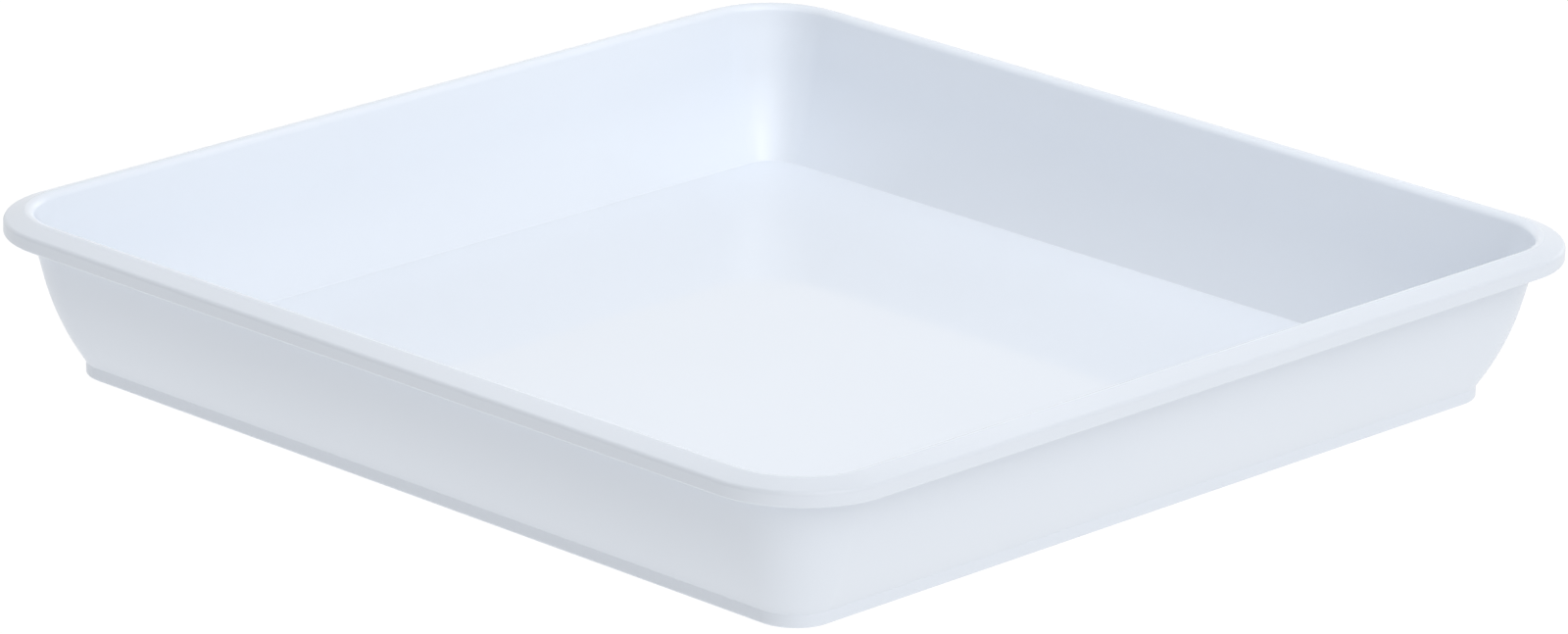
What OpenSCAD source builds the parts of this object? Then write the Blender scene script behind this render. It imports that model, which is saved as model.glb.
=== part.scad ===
// Square paint roller tray: a shallow, thin-walled plastic moulding with a turned-down rim.
// The moulding is drawn as the regions of its form, which meet face to face and never overlap.
//
// Frame: millimetres, +Z up, origin at the middle of the resting face, sides along X and Y.
// The front is -Y and the right is +X.
//
// Every cross-section is drawn in one plane. Its first coordinate is the inset, the distance in
// from the rim's outer face, and its second is the height above the resting face.

/* [Overall] */
// Outside length of each side of the rim
side = 400; // [340:10:460]
// Height from the resting face to the crest of the rim
tray_h = 59; // [55:1:70]
// Thickness of the moulding
skin = 2.2; // [1.8:0.1:2.6]
// Colour of the plastic
plastic = "#E8EDF7"; // ["#E8EDF7":White, "#D9DDE0":Pale grey, "#3A3D40":Black]

/* [Rim] */
// Plan radius of the rim's outer corners
rim_corner_r = 37; // [32:1:42]
// Width of the rim, from its outer face to the inner edge of its crest
rim_w = 10.8; // [10:0.1:13]
// Radius of the crest, where the rim turns down into the tray
crest_r = 3; // [2.8:0.1:3.4]
// Radius of the shoulder, where the rim turns down into the lip
shoulder_r = 1.8; // [1:0.1:2]
// How far the top of the rim falls from its crest to its shoulder
rim_fall = 2.2; // [1.6:0.1:2.4]
// Height from the crest down to the lower edge of the lip
lip_drop = 8; // [7:0.5:10]
// Rounding of the lip's lower edges
lip_edge_r = 0.8; // [0.4:0.1:0.8]

/* [Walls] */
// Lean of the upper wall from vertical, in degrees
draft = 13; // [8:0.5:14]
// Height at which the wall starts to bend in towards the foot
bend_z = 36; // [30:1:40]
// Outside radius of the bend
bend_r = 100; // [90:1:120]
// Radius of the fillet between the wall and the floor
floor_fillet_r = 0.8; // [0.6:0.2:5]

/* [Foot and floor] */
// Height of the upright band at the bottom of the wall
foot_h = 4.7; // [4:0.1:5]
// Plan radius of the foot's outer corners
foot_corner_r = 15; // [13:1:20]
// Rounding of the foot's lower outer edge
foot_edge_r = 1; // [0.5:0.1:1.2]
// Height of the floor's upper face
floor_z = 4.9; // [4.8:0.1:5.6]

/* [Hidden] */
$fn = 96;

half = side / 2;
grid = 1 / 4096; // spacing to which the foot's points are rounded, so that its parts meet exactly
bend_steps = 8; // segments along the wall's bend
fillet_steps = 4; // segments along the floor fillet
round_steps = 6; // segments along each of the smaller roundings
crest_back_steps = 2; // segments from the top of the crest back to the rim's slope
corner_steps = 12; // segments round a corner of the walls

// Levels at which the moulding is divided into regions.
lip_z = tray_h - lip_drop;
under_z = floor_z - skin;

// Rim: the crest and the shoulder are circles, joined by a line that touches both from above.
crest = [rim_w - crest_r, tray_h - crest_r];
shoulder = [shoulder_r, tray_h - rim_fall - shoulder_r];
rim_span = crest - shoulder;
rim_slope = atan2(rim_span[1], rim_span[0]) + asin((crest_r - shoulder_r) / norm(rim_span));
under_crest = crest + (crest_r - skin) * [-sin(rim_slope), cos(rim_slope)];
under_shoulder = [skin, under_crest[1] - (under_crest[0] - skin) * tan(rim_slope)];

// Wall: the inner face leaves the crest circle at the draft angle.
inner_top = crest + crest_r * [cos(draft), sin(draft)];
inner_lip = [inner_top[0] + (inner_top[1] - lip_z) * tan(draft), lip_z];
outer_lip = inner_lip - [skin / cos(draft), 0];
bend_start = [outer_lip[0] + (lip_z - bend_z) * tan(draft), bend_z];
bend_centre = bend_start + bend_r * [cos(draft), sin(draft)];
foot_lean = asin((bend_centre[1] - foot_h) / bend_r);
foot_inset = bend_centre[0] - bend_r * cos(foot_lean);

// Floor fillet: a circle that touches the floor and the inner face of the bend.
fillet_reach = bend_r - skin - floor_fillet_r;
fillet_lean = asin((bend_centre[1] - floor_z - floor_fillet_r) / fillet_reach);
fillet_centre = bend_centre - fillet_reach * [cos(fillet_lean), sin(fillet_lean)];
floor_inset = fillet_centre[0];

// Distance from each side to a corner's centre, at the foot.
foot_centre = on_grid(foot_inset + foot_corner_r);
// How far a corner region of the walls reaches along its two sides.
corner_len = max(rim_corner_r, foot_centre) + 5;

function on_grid(value) = round(value / grid) * grid;
function arc(centre, r, from, to, steps) =
    [for (i = [0:steps]) let (a = from + (to - from) * i / steps) centre + r * [cos(a), sin(a)]];
function reversed(list) = [for (i = [len(list) - 1:-1:0]) list[i]];
function tail(list) = [for (i = [1:len(list) - 1]) list[i]];

// The wall's outer face from the lip level down, along the foot band and under the floor's edge.
wall_outer = concat(
    [outer_lip],
    arc(bend_centre, bend_r, 180 + draft, 180 + foot_lean, bend_steps),
    [for (i = [0:fillet_steps - 1])
        [foot_inset + (floor_inset - foot_inset) * i / (fillet_steps - 1), under_z]]
);
// The wall's inner face from the lip level down to the floor, point for point beside the outer.
wall_inner = concat(
    [inner_lip],
    arc(bend_centre, bend_r - skin, 180 + draft, 180 + fillet_lean, bend_steps),
    tail(arc(fillet_centre, floor_fillet_r, 180 + fillet_lean, 270, fillet_steps))
);
wall_section = concat(wall_outer, reversed(wall_inner));

rim_section = concat(
    [inner_lip],
    arc(crest, crest_r, draft, 90, round_steps),
    tail(arc(crest, crest_r, 90, 90 + rim_slope, crest_back_steps)),
    arc(shoulder, shoulder_r, 90 + rim_slope, 180, round_steps),
    arc([lip_edge_r, lip_z + lip_edge_r], lip_edge_r, 180, 270, round_steps),
    arc([skin - lip_edge_r, lip_z + lip_edge_r], lip_edge_r, 270, 360, round_steps),
    [under_shoulder],
    arc(crest, crest_r - skin, 90 + rim_slope, draft, round_steps),
    [outer_lip]
);

foot_outline = concat(
    [[foot_inset, under_z]],
    arc([foot_inset + foot_edge_r, foot_edge_r], foot_edge_r, 180, 270, round_steps),
    [[foot_inset + skin, 0], [foot_inset + skin, under_z]]
);
foot_section = [for (point = foot_outline) [on_grid(point[0]), on_grid(point[1])]];

// Distance from each side to the corner's centre, beside one point of the wall's outer face. It
// grows towards the foot, so the corner tightens less than the walls lean in.
function centre_beside(point) =
    rim_corner_r + (foot_centre - rim_corner_r)
        * min(1, (point[0] - outer_lip[0]) / (foot_inset - outer_lip[0]));

// Plan line of one inset round the front left corner, from the front side to the left side.
function corner_line(inset, centre) = concat(
    [[corner_len - half, inset - half]],
    arc([centre - half, centre - half], centre - inset, 270, 180, corner_steps),
    [[inset - half, corner_len - half]]
);

// A straight run of a section along the front side.
module side_run(section, length) {
    translate([0, -half, 0])
        rotate([90, 0, 90])
            linear_extrude(height = length, center = true)
                polygon(section);
}

// A section turned through the front left corner about an upright axis.
module corner_turn(section, centre) {
    translate([centre - half, centre - half, 0])
        rotate([0, 0, 180])
            rotate_extrude(angle = 90)
                polygon([for (point = section) [centre - point[0], point[1]]]);
}

// Each region is drawn at the front or the front left, and turned to its own side.
module wall_run(quarter) {
    rotate([0, 0, 90 * quarter])
        side_run(wall_section, side - 2 * corner_len);
}

module wall_corner(quarter) {
    rows = len(wall_outer);
    outer = [for (p = wall_outer) corner_line(p[0], centre_beside(p))];
    inner = [for (i = [0:rows - 1]) corner_line(wall_inner[i][0], centre_beside(wall_outer[i]))];
    lines = concat(outer, reversed(inner));
    levels = [for (p = wall_section) p[1]];
    count = len(lines);
    stations = len(lines[0]);
    points = [for (s = [0:stations - 1]) for (i = [0:count - 1])
        [lines[i][s][0], lines[i][s][1], levels[i]]];
    skin_faces = [for (s = [0:stations - 2]) for (i = [0:count - 1])
        let (j = (i + 1) % count, a = s * count, b = (s + 1) * count)
            each [[a + i, a + j, b + j], [a + i, b + j, b + i]]];
    end_faces = [for (i = [0:rows - 2])
        let (j = count - 1 - i, z = (stations - 1) * count)
            each [
                [i, j - 1, i + 1], [i, j, j - 1],
                [z + i, z + i + 1, z + j - 1], [z + i, z + j - 1, z + j]
            ]];
    rotate([0, 0, 90 * quarter])
        polyhedron(points, concat(skin_faces, end_faces));
}

module rim_run(quarter) {
    rotate([0, 0, 90 * quarter])
        side_run(rim_section, side - 2 * rim_corner_r);
}

module rim_corner(quarter) {
    rotate([0, 0, 90 * quarter])
        corner_turn(rim_section, rim_corner_r);
}

// The flat floor, inside the fillets of the walls.
module floor_panel() {
    edge = reversed(corner_line(floor_inset, foot_centre));
    outline = [for (quarter = [0:3]) for (p = edge)
        let (a = 90 * quarter) [p[0] * cos(a) - p[1] * sin(a), p[0] * sin(a) + p[1] * cos(a)]];
    color(plastic)
        translate([0, 0, under_z])
            linear_extrude(height = skin)
                polygon(outline);
}

// The low ring that the tray stands on, below the level of the floor.
module foot_ring() {
    color(plastic)
        for (quarter = [0:3])
            rotate([0, 0, 90 * quarter]) {
                side_run(foot_section, side - 2 * foot_centre);
                corner_turn(foot_section, foot_centre);
            }
}

module front_wall() { color(plastic) wall_run(0); }
module right_wall() { color(plastic) wall_run(1); }
module back_wall() { color(plastic) wall_run(2); }
module left_wall() { color(plastic) wall_run(3); }

module front_left_corner() { color(plastic) wall_corner(0); }
module front_right_corner() { color(plastic) wall_corner(1); }
module back_right_corner() { color(plastic) wall_corner(2); }
module back_left_corner() { color(plastic) wall_corner(3); }

module front_rim() { color(plastic) rim_run(0); }
module right_rim() { color(plastic) rim_run(1); }
module back_rim() { color(plastic) rim_run(2); }
module left_rim() { color(plastic) rim_run(3); }

module front_left_rim_corner() { color(plastic) rim_corner(0); }
module front_right_rim_corner() { color(plastic) rim_corner(1); }
module back_right_rim_corner() { color(plastic) rim_corner(2); }
module back_left_rim_corner() { color(plastic) rim_corner(3); }

floor_panel();
foot_ring();
front_wall();
right_wall();
back_wall();
left_wall();
front_left_corner();
front_right_corner();
back_right_corner();
back_left_corner();
front_rim();
right_rim();
back_rim();
left_rim();
front_left_rim_corner();
front_right_rim_corner();
back_right_rim_corner();
back_left_rim_corner();
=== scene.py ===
"""A square plastic paint roller tray: its looks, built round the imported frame. Everything is in metres.

The tray is one moulding. It is made here as the same regions that the frame has, and each region is
a closed piece that stands for its CAD node. Neighbouring pieces share their edge points and their
surface normals, so the moulding shades as one unbroken skin.
"""
import math

import bpy
import numpy as np
from mathutils import Matrix, Vector


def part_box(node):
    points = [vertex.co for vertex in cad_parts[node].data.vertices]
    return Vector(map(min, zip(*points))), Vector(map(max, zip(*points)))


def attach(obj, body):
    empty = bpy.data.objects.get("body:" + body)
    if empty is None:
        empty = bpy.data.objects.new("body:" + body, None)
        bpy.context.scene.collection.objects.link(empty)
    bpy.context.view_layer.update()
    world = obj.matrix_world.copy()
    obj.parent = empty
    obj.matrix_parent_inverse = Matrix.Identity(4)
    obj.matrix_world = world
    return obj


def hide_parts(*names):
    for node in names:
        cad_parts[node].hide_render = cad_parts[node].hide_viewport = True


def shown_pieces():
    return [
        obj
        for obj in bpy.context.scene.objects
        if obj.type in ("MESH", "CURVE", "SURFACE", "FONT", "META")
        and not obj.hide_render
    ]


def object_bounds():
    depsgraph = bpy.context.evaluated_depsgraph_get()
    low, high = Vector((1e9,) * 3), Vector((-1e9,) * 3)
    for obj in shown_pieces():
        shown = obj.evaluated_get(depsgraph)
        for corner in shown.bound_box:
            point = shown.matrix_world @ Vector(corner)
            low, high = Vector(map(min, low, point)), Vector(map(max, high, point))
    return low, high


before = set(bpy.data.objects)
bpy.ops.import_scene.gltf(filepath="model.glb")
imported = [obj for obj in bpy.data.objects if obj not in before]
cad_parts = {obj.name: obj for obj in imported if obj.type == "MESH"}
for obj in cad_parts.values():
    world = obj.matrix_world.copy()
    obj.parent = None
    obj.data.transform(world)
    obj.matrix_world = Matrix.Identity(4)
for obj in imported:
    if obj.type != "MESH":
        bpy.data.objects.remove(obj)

cad_low, cad_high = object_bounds()
MM = 0.001

# ---- Sizes that the frame gives ----------------------------------------------------------------
HALF = cad_high.x
TRAY_H = cad_high.z
LIP_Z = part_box("front_rim")[0].z
UNDER_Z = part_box("floor_panel")[0].z
FLOOR_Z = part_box("floor_panel")[1].z
FOOT_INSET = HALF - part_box("foot_ring")[1].x
CORNER_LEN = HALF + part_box("front_left_corner")[1].x
RIM_CORNER_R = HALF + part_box("front_left_rim_corner")[1].x
SKIN = FLOOR_Z - UNDER_Z

# ---- Sizes of the moulding's roundings, as in the CAD source -----------------------------------
RIM_W = 10.8 * MM          # from the rim's outer face to the inner edge of its crest
CREST_R = 3 * MM           # where the rim turns down into the tray
SHOULDER_R = 1.8 * MM      # where the rim turns down into the lip
RIM_FALL = 2.2 * MM        # from the crest down to the shoulder
LIP_EDGE_R = 0.8 * MM      # lower edges of the lip
DRAFT = math.radians(13)   # lean of the upper wall
BEND_Z = 36 * MM           # where the wall starts to bend in
BEND_R = 100 * MM          # outside radius of the bend
FILLET_R = 0.8 * MM        # between the wall and the floor
FOOT_H = 4.7 * MM          # upright band at the bottom of the wall
FOOT_CORNER_R = 15 * MM    # plan radius of the foot's corners
FOOT_EDGE_R = 1 * MM       # lower outer edge of the foot

# ---- Fineness of the meshes ---------------------------------------------------------------------
SIDE_SPANS = 8             # along a straight side
TURN_STEPS = 32            # round a corner
BEND_STEPS = 28            # down the wall's bend
ROUND_STEPS = 10           # over each small rounding

QUARTER = math.pi / 2      # a quarter turn


# ================================================================================================
# Cross-sections. A section point is (inset from the rim's outer face, height, distance from each
# side to the corner's centre). A section is a list of smooth stretches that close into a loop.
# ================================================================================================
def direction(angle):
    """Unit vector at an angle, in a section or in plan."""
    return np.array([math.cos(angle), math.sin(angle)])


def arc(centre, radius, start, end, steps):
    """Points of an arc in a section, as (inset, height) rows."""
    return np.array([centre + radius * direction(a) for a in np.linspace(start, end, steps + 1)])


def stretch(points, centres):
    """A smooth stretch: (inset, height) rows with the corner's centre for each row."""
    points = np.asarray(points, float)
    return np.column_stack([points, np.broadcast_to(centres, len(points))])


def solve_section():
    """Every derived point of the cross-section, worked out as the CAD source does."""
    crest = np.array([RIM_W - CREST_R, TRAY_H - CREST_R])
    shoulder = np.array([SHOULDER_R, TRAY_H - RIM_FALL - SHOULDER_R])
    span = crest - shoulder
    slope = math.atan2(span[1], span[0]) + math.asin((CREST_R - SHOULDER_R) / np.hypot(*span))
    under_crest = crest + (CREST_R - SKIN) * direction(slope + QUARTER)
    under_shoulder = np.array([SKIN, under_crest[1] - (under_crest[0] - SKIN) * math.tan(slope)])
    inner_top = crest + CREST_R * direction(DRAFT)
    inner_lip = np.array([inner_top[0] + (inner_top[1] - LIP_Z) * math.tan(DRAFT), LIP_Z])
    outer_lip = inner_lip - [SKIN / math.cos(DRAFT), 0]
    bend_start = np.array([outer_lip[0] + (LIP_Z - BEND_Z) * math.tan(DRAFT), BEND_Z])
    bend_centre = bend_start + BEND_R * direction(DRAFT)
    foot_lean = math.asin((bend_centre[1] - FOOT_H) / BEND_R)
    reach = BEND_R - SKIN - FILLET_R
    fillet_lean = math.asin((bend_centre[1] - FLOOR_Z - FILLET_R) / reach)
    fillet_centre = bend_centre - reach * direction(fillet_lean)
    return {
        "crest": crest, "shoulder": shoulder, "slope": slope, "under_shoulder": under_shoulder,
        "inner_lip": inner_lip, "outer_lip": outer_lip, "bend_centre": bend_centre,
        "foot_lean": foot_lean, "fillet_lean": fillet_lean, "fillet_centre": fillet_centre,
        "floor_inset": fillet_centre[0], "foot_centre": FOOT_INSET + FOOT_CORNER_R,
    }


SOLVED = solve_section()


def centre_beside(outer_inset):
    """Distance from each side to the corner's centre, beside a point of the wall's outer face."""
    share = (outer_inset - SOLVED["outer_lip"][0]) / (FOOT_INSET - SOLVED["outer_lip"][0])
    return RIM_CORNER_R + (SOLVED["foot_centre"] - RIM_CORNER_R) * np.clip(share, 0, 1)


def wall_section():
    """Outer face down to the floor's underside, under the floor's edge, and up the inner face."""
    lip_angle = 2 * QUARTER + DRAFT
    foot_angle = 2 * QUARTER + SOLVED["foot_lean"]
    fillet_angle = 2 * QUARTER + SOLVED["fillet_lean"]
    outer_bend = arc(SOLVED["bend_centre"], BEND_R, lip_angle, foot_angle, BEND_STEPS)
    inner_bend = arc(SOLVED["bend_centre"], BEND_R - SKIN, fillet_angle, lip_angle, BEND_STEPS)
    fillet = arc(SOLVED["fillet_centre"], FILLET_R, 3 * QUARTER, fillet_angle, ROUND_STEPS)
    bend_centres = centre_beside(outer_bend[:, 0])
    foot = SOLVED["foot_centre"]
    foot_top = [FOOT_INSET, FOOT_H]
    foot_low = [FOOT_INSET, UNDER_Z]
    floor_low = [SOLVED["floor_inset"], UNDER_Z]
    floor_high = [SOLVED["floor_inset"], FLOOR_Z]
    return [
        stretch([SOLVED["outer_lip"], outer_bend[0]], [RIM_CORNER_R, bend_centres[0]]),
        stretch(outer_bend, bend_centres),
        stretch([foot_top, foot_low], foot),
        stretch([foot_low, floor_low], foot),
        stretch([floor_low, floor_high], foot),
        stretch(fillet, foot),
        stretch(inner_bend, bend_centres[::-1]),
        stretch([inner_bend[-1], SOLVED["inner_lip"]], [bend_centres[0], RIM_CORNER_R]),
        stretch([SOLVED["inner_lip"], SOLVED["outer_lip"]], RIM_CORNER_R),
    ]


def rim_section():
    """Inner face up over the crest, down the outer slope and the lip, and back underneath."""
    over = QUARTER + SOLVED["slope"]
    crest = arc(SOLVED["crest"], CREST_R, DRAFT, over, 2 * ROUND_STEPS)
    crest_under = arc(SOLVED["crest"], CREST_R - SKIN, over, DRAFT, ROUND_STEPS)
    shoulder = arc(SOLVED["shoulder"], SHOULDER_R, over, 2 * QUARTER, ROUND_STEPS)
    edge_z = LIP_Z + LIP_EDGE_R
    lip_out = arc(np.array([LIP_EDGE_R, edge_z]), LIP_EDGE_R, 2 * QUARTER, 3 * QUARTER, ROUND_STEPS)
    lip_in = arc(np.array([SKIN - LIP_EDGE_R, edge_z]), LIP_EDGE_R,
                 3 * QUARTER, 4 * QUARTER, ROUND_STEPS)
    chain = [
        [SOLVED["inner_lip"], crest[0]], crest, [crest[-1], shoulder[0]], shoulder,
        [shoulder[-1], lip_out[0]], lip_out, [lip_out[-1], lip_in[0]], lip_in,
        [lip_in[-1], SOLVED["under_shoulder"]], [SOLVED["under_shoulder"], crest_under[0]], crest_under,
        [crest_under[-1], SOLVED["outer_lip"]], [SOLVED["outer_lip"], SOLVED["inner_lip"]],
    ]
    return [stretch(points, RIM_CORNER_R) for points in chain]


def foot_section():
    """The low ring below the floor: outer face, rounded edge, resting face and inner face."""
    edge = arc(np.array([FOOT_INSET + FOOT_EDGE_R, FOOT_EDGE_R]), FOOT_EDGE_R,
               2 * QUARTER, 3 * QUARTER, ROUND_STEPS)
    inner_low = [FOOT_INSET + SKIN, 0]
    inner_high = [FOOT_INSET + SKIN, UNDER_Z]
    outer_high = [FOOT_INSET, UNDER_Z]
    chain = [[outer_high, edge[0]], edge, [edge[-1], inner_low], [inner_low, inner_high],
             [inner_high, outer_high]]
    return [stretch(points, SOLVED["foot_centre"]) for points in chain]


# ================================================================================================
# Lofts. A station says where a section stands in plan, as (kind, value, quarter). The kinds are
# "side", a place along the front side, "turn", an angle round the front left corner, and "before", a
# place along the left side. The quarter then turns it about the tray's middle, 0 for the front side.
# ================================================================================================
def side_stations(quarter, reach):
    return [("side", x, quarter) for x in np.linspace(-reach, reach, SIDE_SPANS + 1)]


def turn_stations(quarter):
    """Round one corner, from the end of one side to the start of the next."""
    angles = [2 * QUARTER + QUARTER * i / TURN_STEPS for i in range(TURN_STEPS + 1)]
    return [("turn", angle, quarter) for angle in angles]


def corner_stations(quarter, length):
    """Round one corner, with a straight stub so that it reaches length from the tray's edges."""
    stub = length - HALF
    return [("before", stub, quarter)] + turn_stations(quarter) + [("side", stub, quarter)]


def all_round():
    """Round all four corners."""
    return [station for quarter in range(4) for station in turn_stations(quarter)]


def place(station, points, tangents):
    """World points and unit normals of a section's points at a station."""
    kind, value, quarter = station
    inset, height, centre = points.T
    if kind == "turn":
        out = direction(value)
        plan = (centre - HALF)[:, None] + (centre - inset)[:, None] * out
    elif kind == "side":
        out = np.array([0.0, -1.0])
        plan = np.column_stack([np.full(len(inset), value), inset - HALF])
    else:
        out = np.array([-1.0, 0.0])
        plan = np.column_stack([inset - HALF, np.full(len(inset), value)])
    spread = abs(out[0]) + abs(out[1]) - 1  # how far a moving centre shifts the corner's face
    inward = tangents[:, 0] + tangents[:, 2] * spread
    upward = tangents[:, 1]
    normal = np.column_stack([-upward[:, None] * out, -inward])
    normal /= np.linalg.norm(normal, axis=1)[:, None]
    turn = quarter_matrix(quarter)
    return np.column_stack([plan, height]) @ turn.T, normal @ turn.T


def quarter_matrix(quarter):
    cosine, sine = [(1, 0), (0, 1), (-1, 0), (0, -1)][quarter]
    return np.array([[cosine, -sine, 0], [sine, cosine, 0], [0, 0, 1]], float)


def slopes(points):
    """The tangent at each point of a smooth stretch."""
    return np.gradient(points, axis=0, edge_order=1 if len(points) < 3 else 2)


def loft(name, section, stations, closed=False):
    """A closed mesh: the section's loop carried through the stations, with a cap at each end or
    joined end to end. Every face corner gets the exact normal of the skin there."""
    starts = np.concatenate([part[:-1] for part in section])
    start_slopes = np.concatenate([slopes(part)[:-1] for part in section])
    ends = np.concatenate([part[1:] for part in section])
    end_slopes = np.concatenate([slopes(part)[1:] for part in section])
    count = len(starts)
    rings, start_normals, end_normals = [], [], []
    for station in stations:
        ring, normals = place(station, starts, start_slopes)
        rings.append(ring)
        start_normals.append(normals)
        end_normals.append(place(station, ends, end_slopes)[1])
    faces, corners = [], []
    for s in range(len(rings) if closed else len(rings) - 1):
        n = (s + 1) % len(rings)
        for i in range(count):
            j = (i + 1) % count
            faces.append([s * count + i, s * count + j, n * count + j, n * count + i])
            corners += [start_normals[s][i], end_normals[s][i], end_normals[n][i], start_normals[n][i]]
    points = np.concatenate(rings)
    if not closed:
        for cap in (np.arange(count)[::-1], np.arange(count) + len(points) - count):
            faces.append(cap.tolist())
            corners += [polygon_normal(points[cap])] * count
    make_piece(name, points, faces, corners)


def polygon_normal(points):
    """Unit normal of a flat face."""
    following = np.roll(points, -1, axis=0)
    normal = np.cross(points - points[0], following - points[0]).sum(axis=0)
    return normal / np.linalg.norm(normal)


def make_piece(name, points, faces, corner_normals):
    """One piece of the tray, which stands for the CAD node of the same name."""
    mesh = bpy.data.meshes.new(name)
    mesh.from_pydata([tuple(p) for p in points], [], faces)
    mesh.polygons.foreach_set("use_smooth", [True] * len(mesh.polygons))
    mesh.normals_split_custom_set([tuple(n) for n in corner_normals])
    mesh.update()
    piece = bpy.data.objects.new("tray_" + name, mesh)
    bpy.context.scene.collection.objects.link(piece)
    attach(piece, "root")
    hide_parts(name)


# ================================================================================================
# The pieces
# ================================================================================================
SIDE_NAMES = ("front", "right", "back", "left")
CORNER_NAMES = ("front_left", "front_right", "back_right", "back_left")


def make_walls():
    section = wall_section()
    for quarter in range(4):
        loft(SIDE_NAMES[quarter] + "_wall", section, side_stations(quarter, HALF - CORNER_LEN))
        loft(CORNER_NAMES[quarter] + "_corner", section, corner_stations(quarter, CORNER_LEN))


def make_rim():
    section = rim_section()
    for quarter in range(4):
        loft(SIDE_NAMES[quarter] + "_rim", section, side_stations(quarter, HALF - RIM_CORNER_R))
        loft(CORNER_NAMES[quarter] + "_rim_corner", section, turn_stations(quarter))


def make_foot_ring():
    loft("foot_ring", foot_section(), all_round(), closed=True)


# The moulding's gate: a shallow square recess under the middle of the floor, with rounded corners and
# with the stub of plastic that is left where it was filled. Each row is (distance from the middle to
# the recess's corners, depth into the floor), both in millimetres.
GATE_ROWS = [(9.0, 0.0), (8.4, 0.10), (7.8, 0.38), (7.2, 0.50), (3.0, 0.50), (2.4, 0.42), (2.1, 0.10),
             (1.7, -0.05)]


def make_floor():
    """A flat plate with rounded corners. Its underside has the gate's recess in the middle."""
    edge = np.array([[SOLVED["floor_inset"], FLOOR_Z, SOLVED["foot_centre"]]])
    upright = np.array([[0.0, -1.0, 0.0]])
    outline = np.concatenate([place(station, edge, upright)[0] for station in all_round()])
    count = len(outline)
    bearing = np.arctan2(outline[:, 1], outline[:, 0])
    round_middle = np.column_stack([np.cos(bearing), np.sin(bearing), np.zeros(count)])
    rings = [outline, outline * [1, 1, 0] + [0, 0, UNDER_Z]]
    for radius, depth in GATE_ROWS:
        rings.append(round_middle * radius * MM + [0, 0, UNDER_Z + depth * MM])
    points = np.concatenate(rings)
    around = np.arange(count)
    faces = [around]
    for start in range(0, len(points) - count, count):
        for i in range(count):
            j = (i + 1) % count
            faces.append(np.array([i, i + count, j + count, j]) + start)
    faces.append(around[::-1] + len(points) - count)
    corners = [polygon_normal(points[face]) for face in faces for _ in face]
    make_piece("floor_panel", points, [face.tolist() for face in faces], corners)


make_walls()
make_rim()
make_foot_ring()
make_floor()


# ================================================================================================
# Material: white plastic, glossy inside and satin outside, with a fine moulded grain
# ================================================================================================
TONES = ((0.722, 0.768, 0.836, 1), (0.742, 0.788, 0.856, 1))  # darkest and lightest, broadly mottled
POLISH = (0.030, 0.055)       # roughness of the polished inside
ETCHING = 0.18                # roughness that the etched outside adds
ETCHED_FROM_TO = (0.012, 0.040)  # distances of a face's plane from the origin, over which it sets in
STEEP_SLOPE, LEVEL_SLOPE = 0.90, 0.995  # upward parts of the normal of a steep and a level face
STEEP_ROUGHNESS = 0.14        # roughness that a steep face adds
PLASTIC_IOR = 1.49
INSIDE_GRAIN, ETCHED_GRAIN = 0.06, 0.34  # strength of the grain inside, and what etching adds


def node(tree, kind, **inputs):
    """A new node with the given inputs set."""
    made = tree.nodes.new(kind)
    for key, value in inputs.items():
        made.inputs[key.replace("_", " ")].default_value = value
    return made


def noise(tree, coordinates, scale, detail, roughness=0.5):
    made = node(tree, "ShaderNodeTexNoise", Scale=scale, Detail=detail, Roughness=roughness)
    tree.links.new(coordinates, made.inputs["Vector"])
    return made.outputs["Fac"]


def dot_product(tree, vector):
    """A dot product node whose first vector is another node's output."""
    made = tree.nodes.new("ShaderNodeVectorMath")
    made.operation = "DOT_PRODUCT"
    tree.links.new(vector, made.inputs[0])
    return made


def remap(tree, value, low, high, start=0.0, end=1.0):
    """The value's range from start to end, carried over to low to high and held beyond it."""
    made = node(tree, "ShaderNodeMapRange")
    limits = {"From Min": start, "From Max": end, "To Min": low, "To Max": high}
    for key, limit in limits.items():
        made.inputs[key].default_value = limit
    tree.links.new(value, made.inputs["Value"])
    return made.outputs["Result"]


def feed(tree, socket, value):
    """Give a socket a number, or the output of another node."""
    if isinstance(value, bpy.types.NodeSocket):
        tree.links.new(value, socket)
    else:
        socket.default_value = value


def math_node(tree, operation, *values):
    """The result of a sum on numbers or other nodes' outputs."""
    made = tree.nodes.new("ShaderNodeMath")
    made.operation = operation
    for socket, value in zip(made.inputs, values):
        feed(tree, socket, value)
    return made.outputs["Value"]


def bump(tree, height, distance, strength, below=None):
    made = node(tree, "ShaderNodeBump", Distance=distance)
    feed(tree, made.inputs["Strength"], strength)
    tree.links.new(height, made.inputs["Height"])
    if below is not None:
        tree.links.new(below, made.inputs["Normal"])
    return made.outputs["Normal"]


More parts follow.
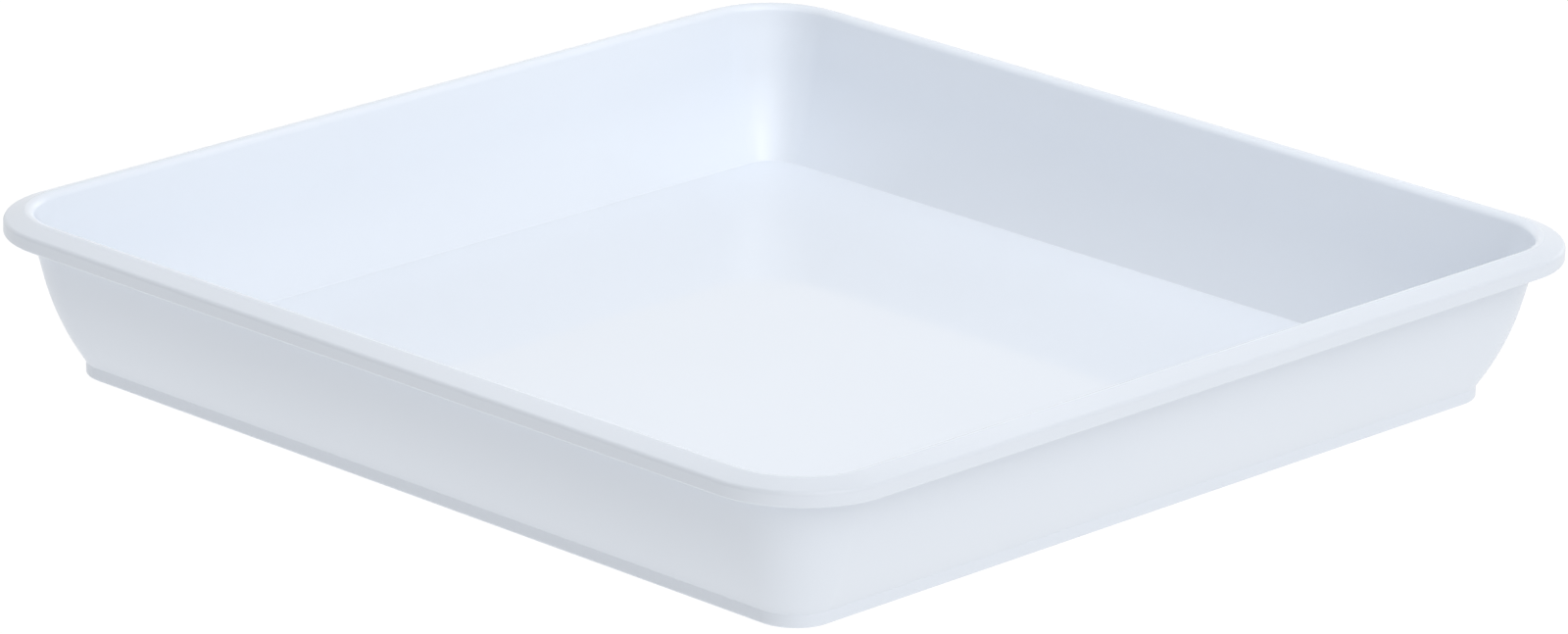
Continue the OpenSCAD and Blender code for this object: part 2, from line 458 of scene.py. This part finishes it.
def tray_plastic():
    """White plastic. The mould's core is polished, so the inside of the tray is glossy, and its
    cavity is etched, so the outside and the rim are satin."""
    material = bpy.data.materials.new("tray_plastic")
    material.use_nodes = True
    tree = material.node_tree
    shader = tree.nodes["Principled BSDF"]
    coordinates = tree.nodes.new("ShaderNodeTexCoord")
    place_in = coordinates.outputs["Object"]
    outward = dot_product(tree, place_in)
    tree.links.new(coordinates.outputs["Normal"], outward.inputs[1])
    etched = remap(tree, outward.outputs["Value"], 0, 1, *ETCHED_FROM_TO)

    mix = tree.nodes.new("ShaderNodeMix")
    mix.data_type = "RGBA"
    dark, light = mix.inputs[6], mix.inputs[7]  # the node's two colours
    dark.default_value, light.default_value = TONES
    tree.links.new(noise(tree, place_in, 9.0, 3.0), mix.inputs["Factor"])
    tree.links.new(mix.outputs[2], shader.inputs["Base Color"])

    polish = remap(tree, noise(tree, place_in, 35.0, 4.0), *POLISH)
    facing = tree.nodes.new("ShaderNodeSeparateXYZ")
    tree.links.new(coordinates.outputs["Normal"], facing.inputs["Vector"])
    steep = remap(tree, facing.outputs["Z"], STEEP_ROUGHNESS, 0.0, STEEP_SLOPE, LEVEL_SLOPE)
    roughness = math_node(tree, "MULTIPLY_ADD", etched, ETCHING, math_node(tree, "ADD", polish, steep))
    tree.links.new(roughness, shader.inputs["Roughness"])

    waves = bump(tree, noise(tree, place_in, 14.0, 1.0), 1.0 * MM, 0.10)
    mottle = bump(tree, noise(tree, place_in, 420.0, 2.0), 0.02 * MM, 0.42, below=waves)
    grain_depth = math_node(tree, "MULTIPLY_ADD", etched, ETCHED_GRAIN, INSIDE_GRAIN)
    grain = bump(tree, noise(tree, place_in, 1400.0, 3.0, 0.6), 0.02 * MM, grain_depth, below=mottle)
    tree.links.new(grain, shader.inputs["Normal"])
    shader.inputs["IOR"].default_value = PLASTIC_IOR
    return material


plastic = tray_plastic()
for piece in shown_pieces():
    piece.data.materials.clear()
    piece.data.materials.append(plastic)


# ================================================================================================
# Stage: pale floor, soft studio light, camera
# ================================================================================================
FLOOR_HALF = 6.0              # half the side of the studio floor
FLOOR_GLOW = 0.992            # the floor's own light, which keeps it white up to the tray's edge
FLOOR_COLOUR = (0.05, 0.05, 0.05, 1)
# Rows are (azimuth from the front towards the right, elevation, sharpness, strength).
SOFT_LIGHTS = [
    (135, 6, 16, 0.40), (180, 6, 16, 1.90), (225, 6, 16, 0.40), (270, 6, 16, 1.30),
    (315, 6, 16, 0.46), (45, 32, 9, 0.88), (90, 32, 9, 1.00), (90, 62, 8, 1.10),
    (40, 45, 30, 0.40), (80, 45, 30, 1.50), (270, 32, 9, 0.72), (60, 20, 20, 0.60),
    (225, 20, 2, 0.55),
]
# Four small softboxes hang over the corners of the well. They fill its inside with soft light and
# reach no face that looks outwards. Rows are (x, y, power in watts).
SOFTBOX_Z, SOFTBOX_SIDE = 0.28, 0.12
SOFTBOXES = [(0.135, -0.135, 0.158), (0.135, 0.135, 0.176), (-0.135, -0.135, 0.122),
             (-0.135, 0.135, 0.166)]

# The view: direction as for the lights, tilt about the line of sight, and distances in half tray sides.
VIEW_AZIMUTH, VIEW_ELEVATION, VIEW_TILT = (math.radians(a) for a in (43.591, 18.667, 1.432))
VIEW_DISTANCE = 15.1864 * HALF
AIM_RIGHT, AIM_UP = 0.0035 * HALF, 0.1141 * HALF
LENS, SENSOR = 202.45, 36     # in millimetres


def towards(azimuth, elevation):
    """Unit vector at an azimuth from the front towards the right, and an elevation."""
    return Vector((math.sin(azimuth) * math.cos(elevation), -math.cos(azimuth) * math.cos(elevation),
                   math.sin(elevation)))


def make_floor_plane():
    mesh = bpy.data.meshes.new("studio_floor")
    mesh.from_pydata([(-FLOOR_HALF, -FLOOR_HALF, 0), (FLOOR_HALF, -FLOOR_HALF, 0),
                      (FLOOR_HALF, FLOOR_HALF, 0), (-FLOOR_HALF, FLOOR_HALF, 0)], [], [[0, 1, 2, 3]])
    plane = bpy.data.objects.new("studio_floor", mesh)
    bpy.context.scene.collection.objects.link(plane)
    material = bpy.data.materials.new("studio_floor")
    material.use_nodes = True
    shader = material.node_tree.nodes["Principled BSDF"]
    shader.inputs["Base Color"].default_value = FLOOR_COLOUR
    shader.inputs["Roughness"].default_value = 0.9
    shader.inputs["Specular IOR Level"].default_value = 0.0
    shader.inputs["Emission Color"].default_value = (1, 1, 1, 1)
    shader.inputs["Emission Strength"].default_value = FLOOR_GLOW
    mesh.materials.append(material)


def make_world():
    """A studio sky: soft round lights in the distance, each brightest at its own direction."""
    world = bpy.data.worlds.new("studio")
    bpy.context.scene.world = world
    world.use_nodes = True
    tree = world.node_tree
    look = tree.nodes.new("ShaderNodeTexCoord").outputs["Generated"]
    total = 0.0
    for azimuth, elevation, sharpness, strength in SOFT_LIGHTS:
        alignment = dot_product(tree, look)
        alignment.inputs[1].default_value = towards(math.radians(azimuth), math.radians(elevation))
        facing = math_node(tree, "MAXIMUM", alignment.outputs["Value"], 0.0)
        glow = math_node(tree, "POWER", facing, sharpness)
        total = math_node(tree, "MULTIPLY_ADD", glow, strength, total)
    background = tree.nodes["Background"]
    background.inputs["Color"].default_value = (1, 1, 1, 1)
    tree.links.new(total, background.inputs["Strength"])


def make_softboxes():
    for i, (x, y, power) in enumerate(SOFTBOXES):
        data = bpy.data.lights.new("softbox_%d" % i, "AREA")
        data.shape = "SQUARE"
        data.size = SOFTBOX_SIDE
        data.energy = power
        softbox = bpy.data.objects.new("softbox_%d" % i, data)
        softbox.location = (x, y, SOFTBOX_Z)
        softbox.visible_camera = False
        softbox.visible_glossy = False
        bpy.context.scene.collection.objects.link(softbox)


def make_camera():
    """A long lens from above the near corner, with the slight tilt of the original view."""
    back = towards(VIEW_AZIMUTH, VIEW_ELEVATION)
    level = Vector((math.cos(VIEW_AZIMUTH), math.sin(VIEW_AZIMUTH), 0))
    upright = back.cross(level)
    right = level * math.cos(VIEW_TILT) + upright * math.sin(VIEW_TILT)
    up = upright * math.cos(VIEW_TILT) - level * math.sin(VIEW_TILT)
    data = bpy.data.cameras.new("camera")
    data.sensor_width = SENSOR
    data.lens = LENS
    camera = bpy.data.objects.new("camera", data)
    stand = back * VIEW_DISTANCE + right * AIM_RIGHT + up * AIM_UP
    turn = Matrix((right, up, back)).transposed().to_4x4()
    camera.matrix_world = Matrix.Translation(stand) @ turn
    bpy.context.scene.collection.objects.link(camera)
    bpy.context.scene.camera = camera


make_floor_plane()
make_world()
make_softboxes()
make_camera()
bpy.context.scene.view_settings.view_transform = "Standard"
